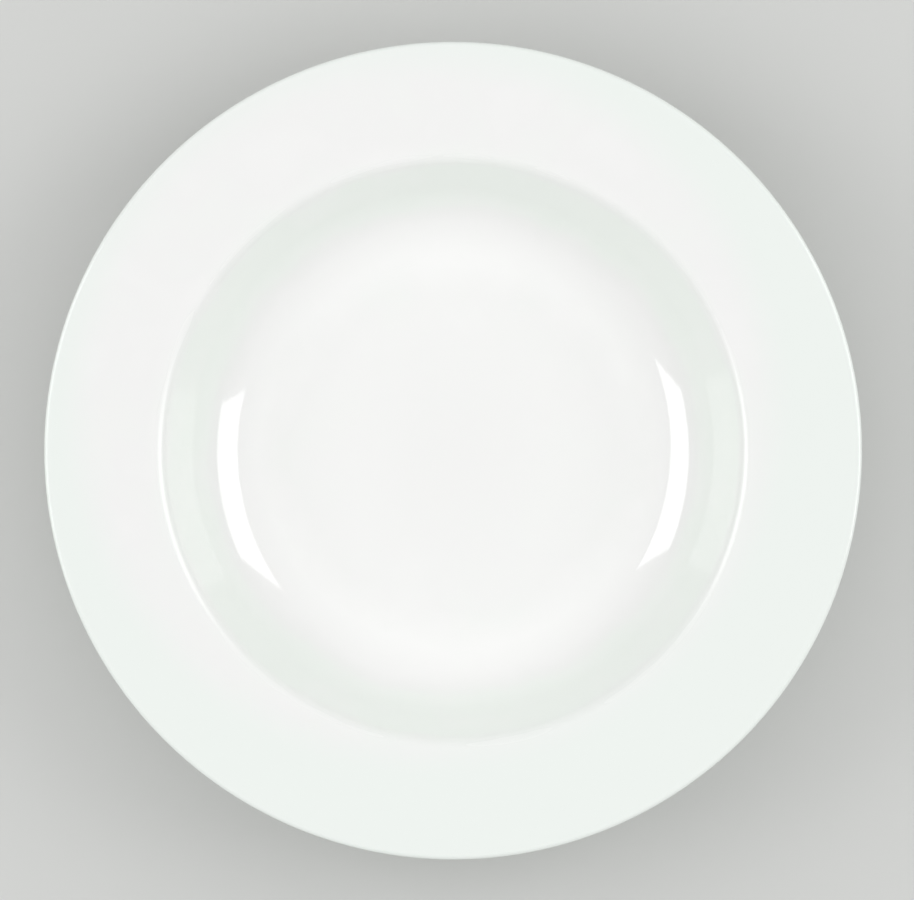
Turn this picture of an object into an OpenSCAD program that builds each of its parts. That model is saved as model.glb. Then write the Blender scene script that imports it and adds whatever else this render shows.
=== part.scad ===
// Rimmed soup plate: a porcelain body of revolution with a deep round well, a wide rim and a foot ring,
// under one coat of clear glaze outside the foot and one disc of it inside the foot.
// The origin is on the axis, in the plane that the foot stands on, and +Z is up.
// Every size is that of the glazed plate, unless its line says otherwise.

/* [Plate] */
// Diameter over the lip
plate_d = 230; // [215:1:260]
// How far the flat floor of the well lies below the top of the crest
well_depth = 25.5; // [21:0.5:30]
// How far the lip stands above the crest
rim_rise = 5.5; // [4:0.5:9]

/* [Well] */
// Diameter at the middle of the rounded crest, where the well meets the rim
well_d = 170; // [155:1:180]
// Angle of the straight part of the well's wall above the level
wall_angle = 60; // [54:1:66]
// Radius of the hollow cove between the floor and the wall
cove_r = 25; // [20:1:30]
// Thickness of the floor
floor_t = 4.5; // [3.6:0.1:6]
// Thickness of the well's wall
wall_t = 4.2; // [3.4:0.1:5.4]

/* [Rim] */
// Radius of the crest
crest_r = 4.4; // [3:0.2:5.6]
// Thickness of the rim where it leaves the wall
rim_t = 4; // [3.4:0.1:5.2]
// Thickness of the fully rounded lip
lip_t = 2.4; // [2:0.1:3.6]
// Radius of the hollow under the rim, between rim and wall
under_r = 9; // [5:0.5:14]

/* [Foot] */
// Outer diameter of the bare foot ring
foot_d = 122; // [112:1:134]
// Width of the bare foot ring
foot_w = 4; // [3:0.1:6]
// Height of the underside inside the foot ring above the standing face
foot_h = 3.2; // [2.8:0.1:5]
// Radius of the two bare corners beside the standing face
toe_r = 0.8; // [0.5:0.1:1]
// Radius of the hollows where the foot ring grows out of the base
root_r = 1.4; // [0.8:0.1:1.5]

/* [Glaze] */
// Thickness of the glaze
glaze_t = 0.3; // [0.2:0.05:0.4]
// Height of the glaze line on the foot ring above the standing face
glaze_line_h = 1.25; // [1.1:0.05:1.3]

/* [Hidden] */
$fn = 180;
// Largest turn between two points of an arc, in degrees
arc_step = 5;

plate_r = plate_d / 2;
well_r = well_d / 2;
foot_r = foot_d / 2;
foot_in_r = foot_r - foot_w;
lip_r = lip_t / 2;
floor_z = foot_h + floor_t;
crest_z = floor_z + well_depth - crest_r;
lip_z = floor_z + well_depth + rim_rise - lip_r;

// Each round of the section is a circle [r, z, s]: its centre, and its radius at the glazed surface,
// plus for a round edge and minus for a hollow. The surface is a belt drawn tight over them in turn.

// The crest, and the cove that leads the floor into a wall of the set angle
crest = [well_r, crest_z, crest_r];
cove_z = floor_z + cove_r;
floor_r = well_r - (cove_r + crest_r + cos(wall_angle) * (crest_z - cove_z)) / sin(wall_angle);
cove = [floor_r, cove_z, -cove_r];
lip = [plate_r - lip_r, lip_z, lip_r];

// The hollow under the rim: the rim's thickness below the rim and the wall's thickness outside the wall
rim_out = unit(belt_angle(crest, lip));
wall_out = unit(belt_angle(cove, crest));
rim_drop = crest_r - rim_t - under_r;
wall_drop = crest_r - wall_t - under_r;
corner = rim_out.x * wall_out.y - rim_out.y * wall_out.x;
under = [
    crest[0] + (rim_drop * wall_out.y - wall_drop * rim_out.y) / corner,
    crest[1] + (wall_drop * rim_out.x - rim_drop * wall_out.x) / corner,
    -under_r
];

// The outside of the cove, which keeps the floor's thickness below and the wall's thickness beside it
shell_r = cove_r + (wall_t - floor_t * cos(wall_angle)) / (1 - cos(wall_angle));
shell = [floor_r, foot_h + shell_r, shell_r];

// The foot ring: a hollow root outside it, two small bare corners and a hollow root inside it
root_out_r = foot_r + glaze_t + root_r;
root_reach = max(0, root_out_r - floor_r);
root_out = [root_out_r, shell[1] - sqrt((shell_r + root_r) ^ 2 - root_reach ^ 2), -root_r];
toe_out = [foot_r - toe_r, toe_r, toe_r + glaze_t];
toe_in = [foot_in_r + toe_r, toe_r, toe_r + glaze_t];
root_in = [foot_in_r - glaze_t - root_r, foot_h - root_r, -root_r];

// Directions of the outward normal, in degrees
up = 90;
outward = 0;
down = -90;
inward = -180;

coat_rounds = [cove, crest, lip, under, shell, root_out];
base_rounds = [root_in];

function unit(a) = [cos(a), sin(a)];
function within_turn(a) = a > 170 ? a - 360 : a <= -190 ? a + 360 : a;

// Direction of the outward normal on the straight stretch of belt from circle a to circle b
function belt_angle(a, b) =
    let (dr = b[0] - a[0], dz = b[1] - a[1], slant = (a[2] - b[2]) / norm([dr, dz]))
    within_turn(atan2(dz, dr) + acos(max(-1, min(1, slant))));

// Points on circle c while the normal turns between two directions, the surface moved out by a distance
function arc(c, start, end, out) =
    let (steps = max(1, ceil(abs(end - start) / arc_step)))
    [for (i = [0 : steps]) [c[0], c[1]] + (c[2] + out) * unit(start + (end - start) * i / steps)];

// Points of the belt over a row of circles
function belt(rounds, start, end, out) =
    let (turns = [start, for (i = [1 : 1 : len(rounds) - 1]) belt_angle(rounds[i - 1], rounds[i]), end])
    [for (i = [0 : len(rounds) - 1]) each arc(rounds[i], turns[i], turns[i + 1], out)];

function reversed(points) = [for (i = [len(points) - 1 : -1 : 0]) points[i]];

// The skin of glaze over one belt: its surface, its rounded edge at the glaze line, and the clay below it
function glaze_section(surface, edge, clay) = concat(surface, edge, reversed(clay));

// Fired clay body: the floor, the well, the rim and the foot ring in one piece
module biscuit_body() {
    color("#ebe4d6")
    rotate_extrude()
    polygon(concat(
        [[0, floor_z - glaze_t]],
        belt(concat(coat_rounds, [toe_out, toe_in], base_rounds), up, down, -glaze_t),
        [[0, foot_h + glaze_t]]
    ));
}

// Glaze over the whole plate, from the middle of the floor round the lip to the outside of the foot
module glaze_coat() {
    color("#f4f5f2")
    rotate_extrude()
    polygon(glaze_section(
        concat([[0, floor_z]], belt(coat_rounds, up, outward, 0)),
        arc([foot_r, glaze_line_h, glaze_t], outward, down, 0),
        concat([[0, floor_z - glaze_t]], belt(coat_rounds, up, outward, -glaze_t))
    ));
}

// Glaze on the underside inside the foot
module base_glaze() {
    color("#f1f3ef")
    rotate_extrude()
    polygon(glaze_section(
        arc([foot_in_r, glaze_line_h, glaze_t], down, inward, 0),
        concat(belt(base_rounds, inward, down, 0), [[0, foot_h]]),
        concat(belt(base_rounds, inward, down, -glaze_t), [[0, foot_h + glaze_t]])
    ));
}

biscuit_body();
glaze_coat();
base_glaze();
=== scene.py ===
# The looks of a rimmed soup plate: clear gloss glaze over white porcelain, and a bare foot ring.
# All is in metres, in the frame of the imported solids: the foot stands on z = 0, and +Z is the axis.
import math
from collections import namedtuple

import bpy
from mathutils import Euler, Matrix, Vector


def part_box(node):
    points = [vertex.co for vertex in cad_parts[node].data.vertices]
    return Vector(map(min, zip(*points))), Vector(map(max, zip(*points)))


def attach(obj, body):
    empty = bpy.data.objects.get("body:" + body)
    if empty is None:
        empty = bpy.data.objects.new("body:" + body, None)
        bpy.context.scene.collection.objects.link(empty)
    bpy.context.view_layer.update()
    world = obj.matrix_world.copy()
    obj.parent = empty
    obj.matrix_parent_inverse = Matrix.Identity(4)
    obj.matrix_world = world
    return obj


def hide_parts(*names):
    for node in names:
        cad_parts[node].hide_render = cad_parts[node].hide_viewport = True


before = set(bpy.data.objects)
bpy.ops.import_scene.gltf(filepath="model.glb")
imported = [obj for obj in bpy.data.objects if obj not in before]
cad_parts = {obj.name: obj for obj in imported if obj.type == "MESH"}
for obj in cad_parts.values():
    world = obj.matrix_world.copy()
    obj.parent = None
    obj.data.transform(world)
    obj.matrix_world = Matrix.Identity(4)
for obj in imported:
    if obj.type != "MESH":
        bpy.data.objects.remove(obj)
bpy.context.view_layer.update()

MM = 0.001

# The photograph's frame, and the plate's place and radius in it, in pixels
PHOTO_W = 914
PHOTO_H = 900
PLATE_X_PX = 453.1
PLATE_Y_PX = 450.6
PLATE_R_PX = 408.9

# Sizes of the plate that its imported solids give
coat_low, coat_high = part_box("glaze_coat")
base_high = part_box("base_glaze")[1]
clay_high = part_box("biscuit_body")[1]
plate_r = coat_high.x
plate_h = coat_high.z
glaze_t = coat_high.z - clay_high.z
glaze_line_h = coat_low.z + glaze_t
foot_in_r = base_high.x
foot_h = base_high.z - glaze_t

# Sizes of the plate that its solids' boxes don't give, as they are built
WELL_DEPTH = 25.5 * MM
WELL_R = 85 * MM
WALL_ANGLE = math.radians(60)
COVE_R = 25 * MM
FLOOR_T = 4.5 * MM
WALL_T = 4.2 * MM
CREST_R = 4.4 * MM
RIM_T = 4 * MM
LIP_R = 1.2 * MM
UNDER_R = 9 * MM
FOOT_W = 4 * MM
TOE_R = 0.8 * MM
ROOT_R = 1.4 * MM

floor_z = foot_h + FLOOR_T
foot_r = foot_in_r + FOOT_W

# Directions of the outward normal in the section. The belt turns from UP through DOWN to INWARD, so a
# direction past TURN_LIMIT is written one full turn less
UP = math.radians(90)
OUTWARD = 0
DOWN = math.radians(-90)
INWARD = math.radians(-180)
TURN_LIMIT = math.radians(170)

# Fineness of the meshes: the turn between two points of an arc where the surface shows, where it lies
# against another and on the small edge of the glaze, the longest step along a straight stretch, the steps
# round the axis, and how close two points are that become one
SHOWN_TURN = math.radians(2)
HIDDEN_TURN = math.radians(9)
EDGE_TURN = math.radians(15)
STRAIGHT_STEP = 3.2 * MM
SEGMENTS = 240
MERGE_STEP = 0.001 * MM

# A round of the section is a circle: its centre, and its radius, plus for an edge and minus for a hollow.
# An arc is the part of a round that the surface follows, between two directions of the normal.
Round = namedtuple("Round", "r z radius")
Arc = namedtuple("Arc", "r z radius start end steps")


# Camera

# Height of the camera above the middle of the lip, and the width of its sensor
CAMERA_ABOVE = 1.1
SENSOR_W_MM = 36


def make_camera():
    """The camera, straight above the plate, framed as the photograph is"""
    metres_per_px = plate_r / PLATE_R_PX
    camera = bpy.data.cameras.new("camera")
    camera.sensor_width = SENSOR_W_MM
    camera.lens = SENSOR_W_MM * CAMERA_ABOVE / (PHOTO_W * metres_per_px)
    holder = bpy.data.objects.new("camera", camera)
    holder.location.x = (PHOTO_W / 2 - PLATE_X_PX) * metres_per_px
    holder.location.y = (PLATE_Y_PX - PHOTO_H / 2) * metres_per_px
    holder.location.z = plate_h - LIP_R + CAMERA_ABOVE
    bpy.context.scene.collection.objects.link(holder)
    bpy.context.scene.camera = holder


make_camera()


# Section of the plate: a belt drawn tight over its rounds

def belt_angle(a, b):
    """Direction of the outward normal on the straight stretch of belt from round a to round b"""
    run = Vector((b.r - a.r, b.z - a.z))
    slant = (a.radius - b.radius) / run.length
    angle = math.atan2(run.y, run.x) + math.acos(max(-1, min(1, slant)))
    return angle - math.tau if angle > TURN_LIMIT else angle


def belt(rounds, start, end, out, step):
    """The arcs of a belt over a row of rounds, moved out by a distance"""
    turns = [start] + [belt_angle(a, b) for a, b in zip(rounds, rounds[1:])] + [end]
    arcs = []
    for spot, first, last in zip(rounds, turns, turns[1:]):
        steps = max(1, math.ceil(abs(last - first) / step))
        arcs.append(Arc(spot.r, spot.z, spot.radius + out, first, last, steps))
    return arcs


def backwards(arcs):
    """The same arcs from the last to the first"""
    return [arc._replace(start=arc.end, end=arc.start) for arc in reversed(arcs)]


def on_axis(z):
    """A point on the axis, as an arc of no radius"""
    return Arc(0, z, 0, UP, UP, 0)


def hollow_under_rim(crest, lip, cove):
    """The hollow between rim and wall, which leaves the rim and the wall their thickness"""
    rim_out = Matrix.Rotation(belt_angle(crest, lip), 2) @ Vector((1, 0))
    wall_out = Matrix.Rotation(belt_angle(cove, crest), 2) @ Vector((1, 0))
    rim_drop = CREST_R - RIM_T - UNDER_R
    wall_drop = CREST_R - WALL_T - UNDER_R
    corner = rim_out.x * wall_out.y - rim_out.y * wall_out.x
    r = crest.r + (rim_drop * wall_out.y - wall_drop * rim_out.y) / corner
    z = crest.z + (wall_drop * rim_out.x - rim_drop * wall_out.x) / corner
    return Round(r, z, -UNDER_R)


def rounds_of_plate():
    """The rounds outside the foot, at the standing face and inside the foot"""
    crest = Round(WELL_R, floor_z + WELL_DEPTH - CREST_R, CREST_R)
    lip = Round(plate_r - LIP_R, plate_h - LIP_R, LIP_R)
    cove_z = floor_z + COVE_R
    reach = COVE_R + CREST_R + math.cos(WALL_ANGLE) * (crest.z - cove_z)
    cove = Round(WELL_R - reach / math.sin(WALL_ANGLE), cove_z, -COVE_R)
    under = hollow_under_rim(crest, lip, cove)
    shell_r = COVE_R + (WALL_T - FLOOR_T * math.cos(WALL_ANGLE)) / (1 - math.cos(WALL_ANGLE))
    shell = Round(cove.r, foot_h + shell_r, shell_r)
    root_r = foot_r + glaze_t + ROOT_R
    root_z = shell.z - math.sqrt((shell_r + ROOT_R) ** 2 - (root_r - shell.r) ** 2)
    root = Round(root_r, root_z, -ROOT_R)
    toe = TOE_R + glaze_t
    toes = [Round(foot_r - TOE_R, TOE_R, toe), Round(foot_in_r + TOE_R, TOE_R, toe)]
    inner_root = Round(foot_in_r - glaze_t - ROOT_R, foot_h - ROOT_R, -ROOT_R)
    return [cove, crest, lip, under, shell, root], toes, [inner_root]


outside, toes, inside = rounds_of_plate()
cove, crest, lip, under = outside[:4]
root = outside[-1]
inner_root = inside[0]


def coat_section():
    """The glaze over the plate: its surface, its rounded edge on the foot, and the clay side of it"""
    surface = belt(outside, UP, OUTWARD, 0, SHOWN_TURN)
    edge = belt([Round(foot_r, glaze_line_h, glaze_t)], OUTWARD, DOWN, 0, EDGE_TURN)
    clay_side = backwards(belt(outside, UP, OUTWARD, -glaze_t, HIDDEN_TURN))
    return [on_axis(floor_z)] + surface + edge + clay_side + [on_axis(floor_z - glaze_t)]


def base_section():
    """The glaze inside the foot: its clay side, its rounded edge on the foot, and its surface"""
    clay_side = backwards(belt(inside, INWARD, DOWN, -glaze_t, HIDDEN_TURN))
    edge = belt([Round(foot_in_r, glaze_line_h, glaze_t)], DOWN, INWARD, 0, EDGE_TURN)
    surface = belt(inside, INWARD, DOWN, 0, SHOWN_TURN)
    return [on_axis(foot_h + glaze_t)] + clay_side + edge + surface + [on_axis(foot_h)]


def clay_section():
    """The clay body, which shows on the foot alone"""
    skin = belt(outside + toes + inside, UP, DOWN, -glaze_t, HIDDEN_TURN)
    shown = belt(outside + toes + inside, UP, DOWN, -glaze_t, SHOWN_TURN)
    foot = range(len(outside), len(outside) + len(toes))
    arcs = [shown[i] if i in foot else skin[i] for i in range(len(skin))]
    return [on_axis(floor_z - glaze_t)] + arcs + [on_axis(foot_h + glaze_t)]


# Nodes

def add(tree, kind, settings=None, inputs=None):
    """Adds a node with its settings, and gives each input a value or another node's output"""
    node = tree.nodes.new(kind)
    for name, value in (settings or {}).items():
        setattr(node, name, value)
    for key, value in (inputs or {}).items():
        if isinstance(value, bpy.types.NodeSocket):
            tree.links.new(value, node.inputs[key])
        else:
            node.inputs[key].default_value = value
    return node


# Turning

# The waver of the glaze line on the foot: how high above the line it dies out, how far it swings and how
# long its waves are. At the middle of the noise the line lies where it would without it
GLAZE_LINE_FADE = 1 * MM
GLAZE_LINE_WAVER = 0.5 * MM
WAVER_LENGTH = 14 * MM
NOISE_MIDDLE = 0.5

TURNING_INPUTS = {
    "Arc centres": "NodeSocketGeometry",
    "Steps round the axis": "NodeSocketInt",
    "Longest straight step": "NodeSocketFloat",
    "Glaze line height": "NodeSocketFloat",
    "Glaze line fade": "NodeSocketFloat",
    "Glaze line waver": "NodeSocketFloat",
    "Waver length": "NodeSocketFloat",
    "Waver seed": "NodeSocketFloat",
    "Merge distance": "NodeSocketFloat",
    "Material": "NodeSocketMaterial",
}
ARC_SIZES = {"arc_points": "INT", "arc_radius": "FLOAT", "arc_start": "FLOAT", "arc_step": "FLOAT"}


def turning_tree():
    """Geometry Nodes tree that draws arcs in a row, joins them by straight lines and turns the row round Z.
    Its input geometry has one point at the centre of each arc, with the arc's sizes as attributes."""
    tree = bpy.data.node_groups.new("turned_porcelain", "GeometryNodeTree")
    for name, kind in TURNING_INPUTS.items():
        tree.interface.new_socket(name, in_out="INPUT", socket_type=kind)
    tree.interface.new_socket("Turned piece", in_out="OUTPUT", socket_type="NodeSocketGeometry")
    given = add(tree, "NodeGroupInput").outputs
    place = add(tree, "GeometryNodeInputPosition").outputs["Position"]
    index = add(tree, "GeometryNodeInputIndex").outputs["Index"]
    arc = {}
    for name, kind in ARC_SIZES.items():
        column = add(tree, "GeometryNodeInputNamedAttribute", {"data_type": kind}, {"Name": name})
        arc[name] = column.outputs["Attribute"]

    # Each centre is copied once for each point of its arc, and each copy moves out along its own spoke
    centres = add(tree, "GeometryNodeMeshToPoints", None, {"Mesh": given["Arc centres"]})
    copies = add(tree, "GeometryNodeDuplicateElements", {"domain": "POINT"},
                 {"Geometry": centres.outputs[0], "Amount": arc["arc_points"]})
    angle = add(tree, "ShaderNodeMath", {"operation": "MULTIPLY_ADD"},
                {0: copies.outputs["Duplicate Index"], 1: arc["arc_step"], 2: arc["arc_start"]})
    level_spoke = add(tree, "ShaderNodeCombineXYZ", None, {"X": arc["arc_radius"]})
    spoke = add(tree, "ShaderNodeVectorRotate", {"rotation_type": "Y_AXIS", "invert": True},
                {"Vector": level_spoke.outputs[0], "Angle": angle.outputs[0]})
    arcs = add(tree, "GeometryNodeSetPosition", None,
               {"Geometry": copies.outputs["Geometry"], "Offset": spoke.outputs[0]})
    row = add(tree, "GeometryNodePointsToCurves", None, {"Points": arcs.outputs[0]})

    # More points along the straight stretches, which keep their shading flat
    next_index = add(tree, "FunctionNodeIntegerMath", {"operation": "ADD"}, {0: index, 1: 1})
    next_place = add(tree, "GeometryNodeFieldAtIndex", {"data_type": "FLOAT_VECTOR"},
                     {"Index": next_index.outputs[0], "Value": place})
    gap = add(tree, "ShaderNodeVectorMath", {"operation": "DISTANCE"}, {0: next_place.outputs[0], 1: place})
    spans = add(tree, "ShaderNodeMath", {"operation": "DIVIDE"},
                {0: gap.outputs["Value"], 1: given["Longest straight step"]})
    cuts = add(tree, "ShaderNodeMath", {"operation": "FLOOR"}, {0: spans.outputs[0]})
    section = add(tree, "GeometryNodeSubdivideCurve", None,
                  {"Curve": row.outputs[0], "Cuts": cuts.outputs[0]})

    # A grid with the section along one side and the turn along the other
    size = add(tree, "GeometryNodeAttributeDomainSize", {"component": "CURVE"},
               {"Geometry": section.outputs[0]})
    points = size.outputs["Point Count"]
    around = given["Steps round the axis"]
    columns = add(tree, "FunctionNodeIntegerMath", {"operation": "ADD"}, {0: around, 1: 1})
    grid = add(tree, "GeometryNodeMeshGrid", None, {"Vertices X": columns.outputs[0], "Vertices Y": points})
    along = add(tree, "FunctionNodeIntegerMath", {"operation": "MODULO"}, {0: index, 1: points})
    on_section = add(tree, "GeometryNodeSampleIndex", {"data_type": "FLOAT_VECTOR"},
                     {"Geometry": section.outputs[0], "Value": place, "Index": along.outputs[0]})
    column = add(tree, "FunctionNodeIntegerMath", {"operation": "DIVIDE_FLOOR"}, {0: index, 1: points})
    share_of_turn = add(tree, "ShaderNodeMath", {"operation": "DIVIDE"},
                        {0: column.outputs[0], 1: around})
    turn = add(tree, "ShaderNodeMath", {"operation": "MULTIPLY"},
               {0: share_of_turn.outputs[0], 1: -math.tau})
    turned = add(tree, "ShaderNodeVectorRotate", {"rotation_type": "Z_AXIS"},
                 {"Vector": on_section.outputs[0], "Angle": turn.outputs[0]})
    skin = add(tree, "GeometryNodeSetPosition", None,
               {"Geometry": grid.outputs["Mesh"], "Position": turned.outputs[0]})
    closed = add(tree, "GeometryNodeMergeByDistance", None,
                 {"Geometry": skin.outputs[0], "Distance": given["Merge distance"]})

    # The glaze line on the foot was wiped by hand, so it wavers a little round the ring
    height = add(tree, "ShaderNodeSeparateXYZ", None, {0: place})
    fade_top = add(tree, "ShaderNodeMath", {"operation": "ADD"},
                   {0: given["Glaze line height"], 1: given["Glaze line fade"]})
    nearness = add(tree, "ShaderNodeMapRange", {"interpolation_type": "SMOOTHSTEP"},
                   {"Value": height.outputs["Z"], "From Min": fade_top.outputs[0],
                    "From Max": given["Glaze line height"]})
    waver_scale = add(tree, "ShaderNodeMath", {"operation": "DIVIDE"}, {0: 1, 1: given["Waver length"]})
    waver = add(tree, "ShaderNodeTexNoise", {"noise_dimensions": "4D"},
                {"Vector": place, "W": given["Waver seed"], "Scale": waver_scale.outputs[0], "Detail": 1})
    centred = add(tree, "ShaderNodeMath", {"operation": "SUBTRACT"}, {0: waver.outputs[0], 1: NOISE_MIDDLE})
    swing = add(tree, "ShaderNodeMath", {"operation": "MULTIPLY"},
                {0: centred.outputs[0], 1: given["Glaze line waver"]})
    lift = add(tree, "ShaderNodeMath", {"operation": "MULTIPLY"},
               {0: swing.outputs[0], 1: nearness.outputs[0]})
    rise = add(tree, "ShaderNodeCombineXYZ", None, {"Z": lift.outputs[0]})
    wiped = add(tree, "GeometryNodeSetPosition", None,
                {"Geometry": closed.outputs[0], "Offset": rise.outputs[0]})

    smooth = add(tree, "GeometryNodeSetShadeSmooth", None, {"Geometry": wiped.outputs[0]})
    real = add(tree, "GeometryNodeRealizeInstances", None, {"Geometry": smooth.outputs[0]})
    clad = add(tree, "GeometryNodeSetMaterial", None,
               {"Geometry": real.outputs[0], "Material": given["Material"]})
    add(tree, "NodeGroupOutput", None, {0: clad.outputs[0]})
    return tree


def turned_piece(name, section, material, waver, seed):
    """A closed solid of revolution, made by the turning tree and left as a plain mesh"""
    mesh = bpy.data.meshes.new(name)
    mesh.from_pydata([(arc.r, 0, arc.z) for arc in section], [], [])
    columns = {
        "arc_points": [arc.steps + 1 for arc in section],
        "arc_radius": [arc.radius for arc in section],
        "arc_start": [arc.start for arc in section],
        "arc_step": [(arc.end - arc.start) / max(1, arc.steps) for arc in section],
    }
    for column, values in columns.items():
        mesh.attributes.new(column, ARC_SIZES[column], "POINT").data.foreach_set("value", values)
    piece = bpy.data.objects.new(name, mesh)
    bpy.context.scene.collection.objects.link(piece)
    modifier = piece.modifiers.new("turning", "NODES")
    modifier.node_group = turning
    given = {
        "Steps round the axis": SEGMENTS,
        "Longest straight step": STRAIGHT_STEP,
        "Glaze line height": glaze_line_h,
        "Glaze line fade": GLAZE_LINE_FADE,
        "Glaze line waver": waver,
        "Waver length": WAVER_LENGTH,
        "Waver seed": seed,
        "Merge distance": MERGE_STEP,
        "Material": material,
    }
    for socket in turning.interface.items_tree:
        if socket.name in given:
            modifier[socket.identifier] = given[socket.name]
    graph = bpy.context.evaluated_depsgraph_get()
    piece.data = bpy.data.meshes.new_from_object(piece.evaluated_get(graph))
    piece.modifiers.remove(modifier)
    bpy.data.meshes.remove(mesh)

    # The finished mesh keeps one material slot, and every face uses it
    piece.data.name = name
    piece.data.materials.clear()
    piece.data.materials.append(material)
    piece.data.polygons.foreach_set("material_index", [0] * len(piece.data.polygons))
    return piece


# Materials

# Places of a Mix node's colour sockets, which share their names with other sockets
COLOUR_A = 6
COLOUR_B = 7
COLOUR_OUT = 2

# A pattern of soft waves: their length, how many finer sets lie over them, and the two noise values between
# which the pattern passes from one state to the other
Waves = namedtuple("Waves", "length detail low high")


def srgb(code):
    """Linear colour of an sRGB hex code"""
    channels = [int(code[i:i + 2], 16) / 255 for i in (1, 3, 5)]
    linear = [c / 12.92 if c <= 0.04045 else ((c + 0.055) / 1.055) ** 2.4 for c in channels]
    return linear + [1]


def new_material(name):
    """A new node material: the material, its tree, its Principled shader and its Object coordinates"""
    material = bpy.data.materials.new(name)
    material.use_nodes = True
    tree = material.node_tree
    place = add(tree, "ShaderNodeTexCoord").outputs["Object"]
    return material, tree, tree.nodes["Principled BSDF"], place


# Glaze

# The glaze's colours. The pooled and thin ones also serve as painted light low in the well, the deep one is
# painted shade in the middle of the floor, and the drained one is painted shade on one side of the rim
GLAZE_EVEN = "#f0f0ef"
GLAZE_POOLED_AND_PAINTED_LIGHT = "#f0f5f0"
GLAZE_THIN_AND_PAINTED_LIGHT = "#f6f6f5"
GLAZE_PAINTED_SHADE = "#eeeeed"
GLAZE_RIM_PAINTED_SHADE = "#ecf1ed"
GLAZE_IOR = 1.56

# The sprayed coat's clouds, and how much thicker or thinner it is there, as a share of a change of colour
COAT_CLOUDS = Waves(length=18 * MM, detail=2, low=0.3, high=0.7)
CLOUD_SHARE = 0.2

# The gloss's soft patches, and the roughness of the glaze between them and in them
GLOSS_PATCHES = Waves(length=30 * MM, detail=3, low=0.35, high=0.65)
GLOSS_BEST = 0.04
GLOSS_SOFTEST = 0.075

# The skin's peel
PEEL_LENGTH = 6 * MM
PEEL_HEIGHT = 0.004 * MM

# Painted shade on one side of the rim: the glaze is darker and greener outside a circle that is set off
# the axis: the circle's middle, and its radius where the painted shade starts and where it is full
RIM_SHADE_FROM = Vector((-8, 12, 0)) * MM
RIM_SHADE_START = 90 * MM
RIM_SHADE_FULL = 105 * MM

# A place where the glaze differs from a flat stretch: a ring, by its radius and height on the section, how
# far it reaches from there, and what it adds at its middle: a share of a change of colour, or roughness
Ring = namedtuple("Ring", "r z reach share")

# Middles of the rings that lie beside a round, as shares of its radius: up the wall from its foot, out and
# up from the edge of the floor, and in and up from the centre of the crest
WALL_UP_SHARE = 0.08
FLOOR_OUT_SHARE = 0.31
FLOOR_UP_SHARE = 0.056
CREST_IN_SHARE = 0.4
CREST_UP_SHARE = 0.9

# Where glaze ran down and gathered, greener: the low wall of the well, and the hollows of the underside.
# On the low wall the ring is also painted light, which lifts the tone where the wall's foot lies in shade
low_wall_r = cove.r + COVE_R * (math.sin(WALL_ANGLE) + WALL_UP_SHARE * math.cos(WALL_ANGLE))
low_wall_z = cove.z + COVE_R * (WALL_UP_SHARE * math.sin(WALL_ANGLE) - math.cos(WALL_ANGLE))
POOLS_AND_PAINTED_LIGHT = (
    Ring(r=low_wall_r, z=low_wall_z, reach=0.68 * COVE_R, share=2),
    Ring(r=under.r, z=under.z, reach=1.6 * UNDER_R, share=0.7),
    Ring(r=root.r, z=root.z, reach=3 * ROOT_R, share=1),
    Ring(r=inner_root.r, z=inner_root.z, reach=3 * ROOT_R, share=1),
)

# Where the coat is whiter: the glaze ran thinner on the crest and the lip, and at the turn of the well's
# floor the whiter ring is painted light, which lifts the shade that falls there
floor_turn_r = cove.r + FLOOR_OUT_SHARE * COVE_R
floor_turn_z = floor_z + FLOOR_UP_SHARE * COVE_R
THIN_AND_PAINTED_LIGHT_PLACES = (
    Ring(r=floor_turn_r, z=floor_turn_z, reach=0.7 * COVE_R, share=1.2),
    Ring(r=crest.r, z=crest.z, reach=1.4 * CREST_R, share=0.5),
    Ring(r=lip.r, z=lip.z, reach=2 * LIP_R, share=0.2),
)

# Painted shade: the middle of the well's floor is a little darker
PAINTED_SHADE_PLACES = (Ring(r=0, z=floor_z, reach=1.15 * cove.r, share=1),)

# Where cutlery, cloths and stacked plates have dulled the gloss: the inner turn of the crest
worn_r = crest.r - CREST_IN_SHARE * CREST_R
worn_z = crest.z + CREST_UP_SHARE * CREST_R
WORN_PLACES = (Ring(r=worn_r, z=worn_z, reach=1.2 * CREST_R, share=0.22),)


def with_rings(tree, on_section, rings, start):
    """A start value plus what each ring adds at a place on the section"""
    total = start
    for ring in rings:
        away = add(tree, "ShaderNodeVectorMath", {"operation": "DISTANCE"},
                   {0: on_section, 1: (ring.r, 0, ring.z)})
        near = add(tree, "ShaderNodeMapRange", {"interpolation_type": "SMOOTHSTEP"},
                   {"Value": away.outputs["Value"], "From Min": ring.reach, "From Max": 0,
                    "To Max": ring.share})
        total = add(tree, "ShaderNodeMath", {"operation": "ADD"}, {0: near.outputs[0], 1: total}).outputs[0]
    return total


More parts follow.
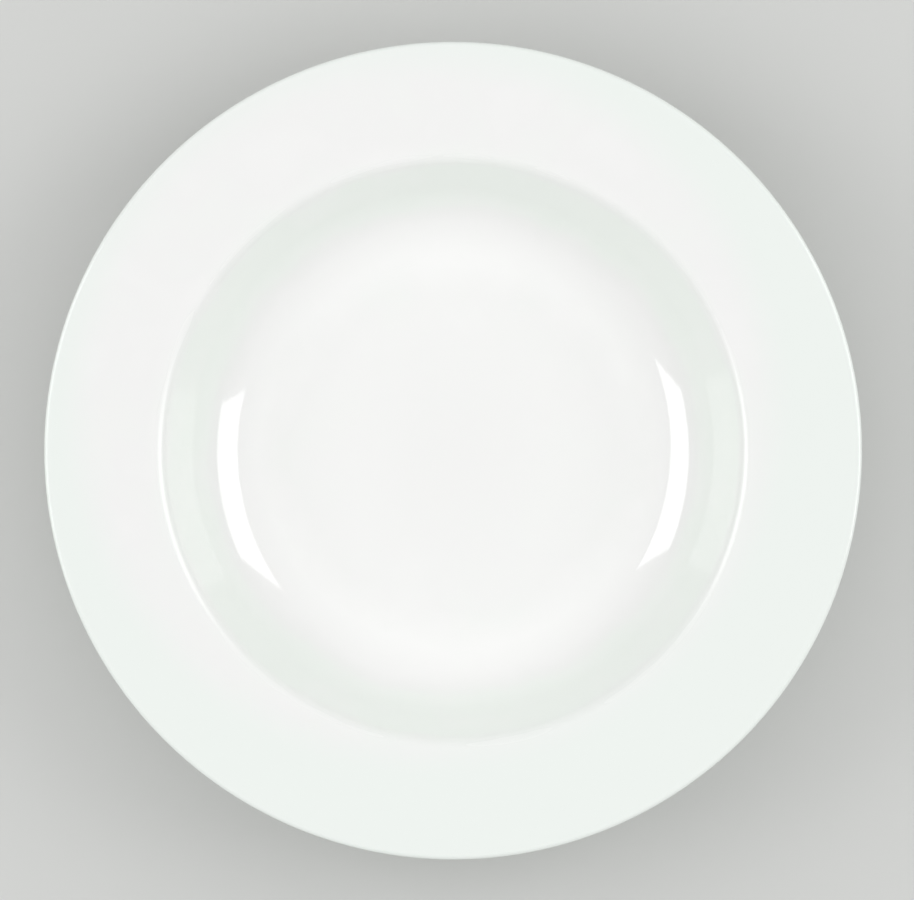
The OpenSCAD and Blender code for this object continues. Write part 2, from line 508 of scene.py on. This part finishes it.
def clear_glaze():
    """Clear gloss glaze over white porcelain, sprayed on and fired to glass. It gives a hard wet shine, a
    plain white with a green cast that deepens where the glaze is thick, and a very faint peel. Its colour
    also holds painted light low in the well, and painted shade in the floor's middle and on one side of the
    rim"""
    material, tree, shader, place = new_material("clear_gloss_glaze")

    # The place on the section: the distance from the axis as X, and the height as Z
    parts = add(tree, "ShaderNodeSeparateXYZ", None, {0: place})
    level = add(tree, "ShaderNodeCombineXYZ", None, {"X": parts.outputs["X"], "Y": parts.outputs["Y"]})
    radius = add(tree, "ShaderNodeVectorMath", {"operation": "LENGTH"}, {0: level.outputs[0]})
    section = add(tree, "ShaderNodeCombineXYZ", None,
                  {"X": radius.outputs["Value"], "Z": parts.outputs["Z"]})
    on_section = section.outputs[0]

    # The sprayed coat is nowhere quite even, and it ran thick and thin as it melted. Painted light lifts
    # the low wall and the turn of the well's floor, and painted shade darkens the middle of the floor
    clouds = add(tree, "ShaderNodeTexNoise", None,
                 {"Vector": place, "Scale": 1 / COAT_CLOUDS.length, "Detail": COAT_CLOUDS.detail})
    thicker = add(tree, "ShaderNodeMapRange", None,
                  {"Value": clouds.outputs[0], "From Min": COAT_CLOUDS.low, "From Max": COAT_CLOUDS.high,
                   "To Min": -CLOUD_SHARE, "To Max": CLOUD_SHARE})
    thinner = add(tree, "ShaderNodeMath", {"operation": "MULTIPLY"}, {0: thicker.outputs[0], 1: -1})
    pooled_and_painted_light = with_rings(tree, on_section, POOLS_AND_PAINTED_LIGHT, thicker.outputs[0])
    thin_and_painted_light = with_rings(tree, on_section, THIN_AND_PAINTED_LIGHT_PLACES, thinner.outputs[0])
    painted_shade = with_rings(tree, on_section, PAINTED_SHADE_PLACES, 0)
    green = add(tree, "ShaderNodeMix", {"data_type": "RGBA"},
                {"Factor": pooled_and_painted_light, COLOUR_A: srgb(GLAZE_EVEN), COLOUR_B: srgb(GLAZE_POOLED_AND_PAINTED_LIGHT)})
    white = add(tree, "ShaderNodeMix", {"data_type": "RGBA"},
                {"Factor": thin_and_painted_light, COLOUR_A: green.outputs[COLOUR_OUT], COLOUR_B: srgb(GLAZE_THIN_AND_PAINTED_LIGHT)})
    grey = add(tree, "ShaderNodeMix", {"data_type": "RGBA"},
               {"Factor": painted_shade, COLOUR_A: white.outputs[COLOUR_OUT], COLOUR_B: srgb(GLAZE_PAINTED_SHADE)})

    # Painted shade: the rim is darker and greener toward the lip on the side toward +X and -Y
    off_axis = add(tree, "ShaderNodeVectorMath", {"operation": "DISTANCE"},
                   {0: level.outputs[0], 1: RIM_SHADE_FROM})
    rim_shade = add(tree, "ShaderNodeMapRange", {"interpolation_type": "SMOOTHSTEP"},
                  {"Value": off_axis.outputs["Value"], "From Min": RIM_SHADE_START, "From Max": RIM_SHADE_FULL})
    tinted = add(tree, "ShaderNodeMix", {"data_type": "RGBA"},
                 {"Factor": rim_shade.outputs[0], COLOUR_A: grey.outputs[COLOUR_OUT],
                  COLOUR_B: srgb(GLAZE_RIM_PAINTED_SHADE)})
    tree.links.new(tinted.outputs[COLOUR_OUT], shader.inputs["Base Color"])

    # The gloss is a little lower in patches, where the kiln's air touched it, and on the worn crest
    patches = add(tree, "ShaderNodeTexNoise", None,
                  {"Vector": place, "Scale": 1 / GLOSS_PATCHES.length, "Detail": GLOSS_PATCHES.detail})
    gloss = add(tree, "ShaderNodeMapRange", None,
                {"Value": patches.outputs[0], "From Min": GLOSS_PATCHES.low, "From Max": GLOSS_PATCHES.high,
                 "To Min": GLOSS_BEST, "To Max": GLOSS_SOFTEST})
    worn = with_rings(tree, on_section, WORN_PLACES, gloss.outputs[0])
    tree.links.new(worn, shader.inputs["Roughness"])

    # Peel: long, low waves in the skin of the glass
    peel = add(tree, "ShaderNodeTexNoise", None, {"Vector": place, "Scale": 1 / PEEL_LENGTH, "Detail": 0})
    skin = add(tree, "ShaderNodeBump", None,
               {"Height": peel.outputs[0], "Distance": PEEL_HEIGHT, "Strength": 1})
    tree.links.new(skin.outputs[0], shader.inputs["Normal"])
    shader.inputs["IOR"].default_value = GLAZE_IOR
    return material


# Bare clay

CLAY_PALE = "#ebe4d6"
CLAY_DEEP = "#e3dac8"
CLAY_RUBBED = "#cfc8ba"
IRON_SPECK = "#b9a88c"
CLAY_IOR = 1.5

# Roughness of the clay where it is dry, and where it was rubbed
CLAY_DRY = 0.88
CLAY_SMOOTHED = 0.6

# The clay's clouds of tone
CLAY_CLOUDS = Waves(length=5 * MM, detail=4, low=0.35, high=0.65)

# Single iron specks: how far apart they lie, and as shares of that the radius of a speck's solid middle and
# of its soft edge. They are drawn about 0.3 mm wide, coarser than real ones, so that they show
SPECK_APART = 2 * MM
SPECK_SOLID_SHARE = 0.05
SPECK_EDGE_SHARE = 0.09

# The rub of tables and stacked plates: its height above the standing face, its streaks, and what is left of
# it between them
RUB_HEIGHT = 0.3 * MM
RUB_STREAKS = Waves(length=9 * MM, detail=3, low=0.4, high=0.6)
RUB_LEAST_SHARE = 0.3

# The grit of the fired clay, drawn coarser than the real grains, so that it shows
GRIT_LENGTH = 0.3 * MM
GRIT_HEIGHT = 0.04 * MM
GRIT_STRENGTH = 0.6


def bare_biscuit():
    """Bare fired porcelain of the foot ring, wiped free of glaze and ground flat: a dry, cream-white stone
    with a fine grain, rubbed a little smoother and greyer on the face that it stands on"""
    material, tree, shader, place = new_material("bare_porcelain_biscuit")

    # Clay tones in clouds, and iron specks
    clouds = add(tree, "ShaderNodeTexNoise", None,
                 {"Vector": place, "Scale": 1 / CLAY_CLOUDS.length, "Detail": CLAY_CLOUDS.detail})
    cloud = add(tree, "ShaderNodeMapRange", None,
                {"Value": clouds.outputs[0], "From Min": CLAY_CLOUDS.low, "From Max": CLAY_CLOUDS.high})
    clay_tone = add(tree, "ShaderNodeMix", {"data_type": "RGBA"},
                    {"Factor": cloud.outputs[0], COLOUR_A: srgb(CLAY_PALE), COLOUR_B: srgb(CLAY_DEEP)})
    grains = add(tree, "ShaderNodeTexVoronoi", None, {"Vector": place, "Scale": 1 / SPECK_APART})
    speck = add(tree, "ShaderNodeMapRange", None,
                {"Value": grains.outputs["Distance"], "From Min": SPECK_EDGE_SHARE,
                 "From Max": SPECK_SOLID_SHARE})
    specked = add(tree, "ShaderNodeMix", {"data_type": "RGBA"},
                  {"Factor": speck.outputs[0], COLOUR_A: clay_tone.outputs[COLOUR_OUT],
                   COLOUR_B: srgb(IRON_SPECK)})

    # Rub near the standing face, greyer and smoother
    parts = add(tree, "ShaderNodeSeparateXYZ", None, {0: place})
    low = add(tree, "ShaderNodeMapRange", {"interpolation_type": "SMOOTHSTEP"},
              {"Value": parts.outputs["Z"], "From Min": RUB_HEIGHT, "From Max": 0})
    streaks = add(tree, "ShaderNodeTexNoise", None,
                  {"Vector": place, "Scale": 1 / RUB_STREAKS.length, "Detail": RUB_STREAKS.detail})
    patch = add(tree, "ShaderNodeMapRange", None,
                {"Value": streaks.outputs[0], "From Min": RUB_STREAKS.low, "From Max": RUB_STREAKS.high,
                 "To Min": RUB_LEAST_SHARE, "To Max": 1})
    rub = add(tree, "ShaderNodeMath", {"operation": "MULTIPLY"}, {0: low.outputs[0], 1: patch.outputs[0]})
    rubbed = add(tree, "ShaderNodeMix", {"data_type": "RGBA"},
                 {"Factor": rub.outputs[0], COLOUR_A: specked.outputs[COLOUR_OUT],
                  COLOUR_B: srgb(CLAY_RUBBED)})
    tree.links.new(rubbed.outputs[COLOUR_OUT], shader.inputs["Base Color"])
    dryness = add(tree, "ShaderNodeMapRange", None,
                  {"Value": rub.outputs[0], "To Min": CLAY_DRY, "To Max": CLAY_SMOOTHED})
    tree.links.new(dryness.outputs[0], shader.inputs["Roughness"])

    grit = add(tree, "ShaderNodeTexNoise", None, {"Vector": place, "Scale": 1 / GRIT_LENGTH, "Detail": 2})
    grain = add(tree, "ShaderNodeBump", None,
                {"Height": grit.outputs[0], "Distance": GRIT_HEIGHT, "Strength": GRIT_STRENGTH})
    tree.links.new(grain.outputs[0], shader.inputs["Normal"])
    shader.inputs["IOR"].default_value = CLAY_IOR
    return material


# Pieces

turning = turning_tree()
glaze = clear_glaze()
biscuit = bare_biscuit()

top_glaze = turned_piece("glazed_plate_surface", coat_section(), glaze, GLAZE_LINE_WAVER, seed=1)
under_glaze = turned_piece("glazed_base_inside_foot", base_section(), glaze, GLAZE_LINE_WAVER, seed=2)
clay = turned_piece("porcelain_body_and_foot", clay_section(), biscuit, waver=0, seed=3)

for piece, node, slot in (
    (top_glaze, "glaze_coat", "glaze"),
    (under_glaze, "base_glaze", "glaze"),
    (clay, "biscuit_body", "biscuit"),
):
    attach(piece, "root")
    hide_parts(node)


# Studio: a pale floor, a soft sky and two soft boxes

# The floor: its radius, its corners, its gap below the foot, and the distances from the axis between which
# it fades into the background
FLOOR_R = 3
FLOOR_CORNERS = 96
FLOOR_GAP = 0.05 * MM
FLOOR_COLOUR = "#cfd0ce"
FLOOR_FADE_START = 0.2
FLOOR_FADE_END = 1.5

# A soft box: its distance from the foot's middle, its angle from the zenith and from the X axis, how its
# panel leans, turns and rolls from facing that middle, and its sides, in metres and degrees. Its radiance
# comes last: as the gloss mirrors it, and as a light
SoftBox = namedtuple(
    "SoftBox", "name distance zenith azimuth lean turn roll width height mirrored lighting")
SOFT_BOXES = (
    SoftBox(name="soft_box_left", distance=1, zenith=52.4, azimuth=179, lean=-7.1, turn=-22.4, roll=-3.4,
            width=0.727, height=0.487, mirrored=3.5, lighting=2.15),
    SoftBox(name="soft_box_right", distance=1, zenith=51.1, azimuth=10, lean=2.1, turn=-0.7, roll=-7.4,
            width=0.664, height=0.544, mirrored=3.2, lighting=2.22),
)

# How far the lamp that lights stands in front of the mirrored one, because a path counts only one of two
# lamps that touch
LAMP_GAP = 2 * MM

# The sky's strength along each axis, the same both ways, and what one way has more and the other less. The
# light from beneath reaches the plate only where the floor is looked through or has faded
SKY_SPREAD = (0.152, 0.424, 0.926)
SKY_LEAN = (-0.008, -0.05, -0.125)

# Strength of the plain wall that the camera and the gloss see instead of the sky
BACKGROUND = 0.65
WHITE = (1, 1, 1, 1)


def make_floor():
    """A large round floor of pale matt paper, a hair below the foot. It fades into the background far from
    the plate. A path that comes from beneath passes through it, so that the foot shows from below"""
    turns = [math.tau * i / FLOOR_CORNERS for i in range(FLOOR_CORNERS)]
    corners = [(FLOOR_R * math.cos(turn), FLOOR_R * math.sin(turn), -FLOOR_GAP) for turn in turns]
    mesh = bpy.data.meshes.new("studio_floor")
    mesh.from_pydata(corners, [], [range(FLOOR_CORNERS)])
    floor = bpy.data.objects.new("studio_floor", mesh)
    bpy.context.scene.collection.objects.link(floor)
    material, tree, shader, place = new_material("pale_matt_paper")
    shader.inputs["Base Color"].default_value = srgb(FLOOR_COLOUR)
    shader.inputs["Roughness"].default_value = 1
    shader.inputs["Specular IOR Level"].default_value = 0
    beneath = add(tree, "ShaderNodeNewGeometry").outputs["Backfacing"]
    passed = add(tree, "ShaderNodeLightPath").outputs["Transparent Depth"]
    away = add(tree, "ShaderNodeVectorMath", {"operation": "LENGTH"}, {0: place})
    far = add(tree, "ShaderNodeMapRange", {"interpolation_type": "SMOOTHSTEP"},
              {"Value": away.outputs["Value"], "From Min": FLOOR_FADE_START, "From Max": FLOOR_FADE_END})
    below = add(tree, "ShaderNodeMath", {"operation": "ADD"}, {0: beneath, 1: passed})
    open_way = add(tree, "ShaderNodeMath", {"operation": "ADD", "use_clamp": True},
                   {0: below.outputs[0], 1: far.outputs[0]})
    gap = add(tree, "ShaderNodeBsdfTransparent")
    paper = add(tree, "ShaderNodeMixShader", None,
                {0: open_way.outputs[0], 1: shader.outputs[0], 2: gap.outputs[0]})
    tree.links.new(paper.outputs[0], tree.nodes["Material Output"].inputs["Surface"])
    mesh.materials.append(material)


def make_soft_box(box):
    """A rectangular soft box that faces the plate: one lamp that the gloss mirrors, and one that lights"""
    out = Vector((math.sin(math.radians(box.zenith)), 0, math.cos(math.radians(box.zenith))))
    out.rotate(Matrix.Rotation(math.radians(box.azimuth), 3, "Z"))
    across = Vector((0, 0, 1)).cross(out).normalized()
    upward = out.cross(across)
    facing = Matrix((across, upward, out)).transposed()
    angles = [math.radians(angle) for angle in (box.lean, box.turn, box.roll)]
    facing = facing @ Euler(angles, "ZXY").to_matrix()
    for use, radiance, distance in (
        ("mirrored", box.mirrored, box.distance),
        ("lighting", box.lighting, box.distance - LAMP_GAP),
    ):
        lamp = bpy.data.lights.new(box.name + "_" + use, "AREA")
        lamp.shape = "RECTANGLE"
        lamp.size = box.width
        lamp.size_y = box.height
        lamp.energy = radiance * math.pi * box.width * box.height
        holder = bpy.data.objects.new(lamp.name, lamp)
        holder.matrix_world = Matrix.Translation(out * distance) @ facing.to_4x4()
        holder.visible_glossy = use == "mirrored"
        holder.visible_diffuse = use == "lighting"
        bpy.context.scene.collection.objects.link(holder)


def make_sky():
    """Soft light from all round, weakest from the sides; the camera and the gloss see a plain pale wall"""
    world = bpy.data.worlds.new("studio_sky")
    bpy.context.scene.world = world
    world.use_nodes = True
    tree = world.node_tree
    tree.nodes.clear()
    ray = add(tree, "ShaderNodeLightPath").outputs
    direction = add(tree, "ShaderNodeTexCoord").outputs["Generated"]
    both_ways = add(tree, "ShaderNodeVectorMath", {"operation": "ABSOLUTE"}, {0: direction})
    spread = add(tree, "ShaderNodeVectorMath", {"operation": "DOT_PRODUCT"},
                 {0: both_ways.outputs[0], 1: SKY_SPREAD})
    lean = add(tree, "ShaderNodeVectorMath", {"operation": "DOT_PRODUCT"}, {0: direction, 1: SKY_LEAN})
    strength = add(tree, "ShaderNodeMath", {"operation": "ADD"},
                   {0: spread.outputs["Value"], 1: lean.outputs["Value"]})
    sky = add(tree, "ShaderNodeBackground", None, {"Color": WHITE, "Strength": strength.outputs[0]})
    wall = add(tree, "ShaderNodeBackground", None, {"Color": WHITE, "Strength": BACKGROUND})
    looked_at = add(tree, "ShaderNodeMath", {"operation": "MAXIMUM"},
                    {0: ray["Is Camera Ray"], 1: ray["Is Transmission Ray"]})
    seen = add(tree, "ShaderNodeMath", {"operation": "MAXIMUM"},
               {0: looked_at.outputs[0], 1: ray["Is Glossy Ray"]})
    mixed = add(tree, "ShaderNodeMixShader", None,
                {0: seen.outputs[0], 1: sky.outputs[0], 2: wall.outputs[0]})
    add(tree, "ShaderNodeOutputWorld", None, {"Surface": mixed.outputs[0]})


make_floor()
for box in SOFT_BOXES:
    make_soft_box(box)
make_sky()

bpy.context.scene.view_settings.view_transform = "Standard"
